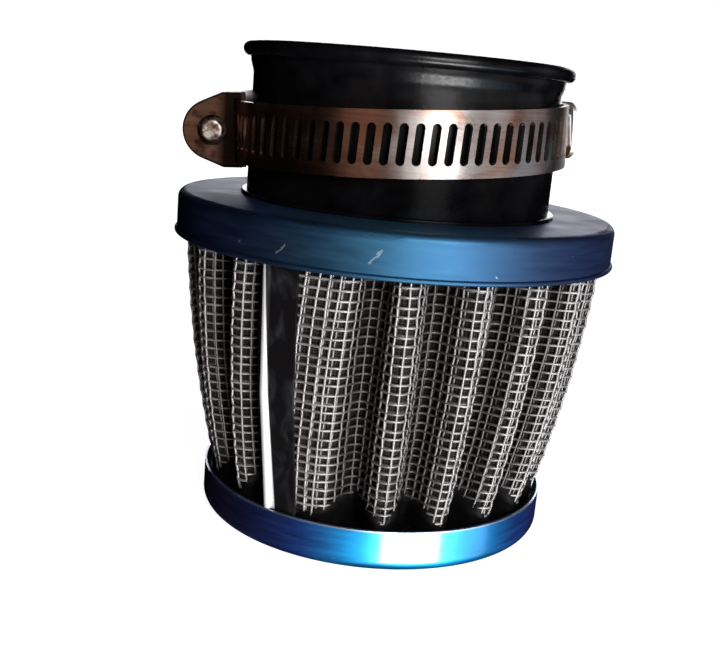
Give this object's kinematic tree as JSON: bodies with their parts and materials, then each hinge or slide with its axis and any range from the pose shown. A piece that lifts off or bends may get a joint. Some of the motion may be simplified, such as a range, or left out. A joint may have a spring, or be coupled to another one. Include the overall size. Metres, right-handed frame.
{
  "type": "pod air filter",
  "caption": "Tapered closed-end pod air filter with pleated wire cloth, blue end caps, a rubber neck and a worm-drive clamp.",
  "frame": {"origin": "centre of the lower cap's flat underside", "axes": "+Z along the filter's axis, out of the neck's mouth; -Y is the front, and the clamp's housing is at -X"},
  "size_m": [0.0606, 0.0606, 0.0641],
  "materials": {
    "blue_plate": "glossy",
    "neck_rubber": "satin",
    "potting": "matte",
    "steel_wire": "satin",
    "gauze": "matte",
    "clip_metal": "satin",
    "band_steel": "polished",
    "screw_steel": "polished"
  },
  "bodies": {
    "filter": {"rubber_neck": "neck_rubber", "upper_cap": "blue_plate", "lower_cap": "blue_plate", "upper_potting": "potting", "lower_potting": "potting", "outer_wire_cloth": "steel_wire", "backing_wire_cloth": "steel_wire", "gauze": "gauze", "inner_wire_cloth": "steel_wire", "seam_clip": "clip_metal"},
    "clamp": {"clamp_housing": "band_steel", "clamp_band_start": "band_steel"},
    "screw": {"clamp_screw": "screw_steel"},
    "strip": {"clamp_strip": "band_steel"}
  },
  "joints": [
    {"name": "clamp_turn", "type": "hinge", "parent": "filter", "child": "clamp", "pos_m": [0, 0, 0.054], "axis": [-0.0678, -0.0309, 0.9972], "continuous": true},
    {"name": "screw_turn", "type": "hinge", "parent": "clamp", "child": "screw", "pos_m": [-0.02534, 0.00003, 0.05228], "axis": [0.001, -0.9995, -0.0309], "range_deg": [-540, 1080]},
    {"name": "band_draw", "type": "hinge", "parent": "clamp", "child": "strip", "pos_m": [0, 0, 0.054], "axis": [0.0678, 0.0309, -0.9972], "range_deg": [-7.5, 15]}
  ],
  "couplings": [
    {"joint": "screw_turn", "follows": "band_draw", "ratio": 72}
  ]
}
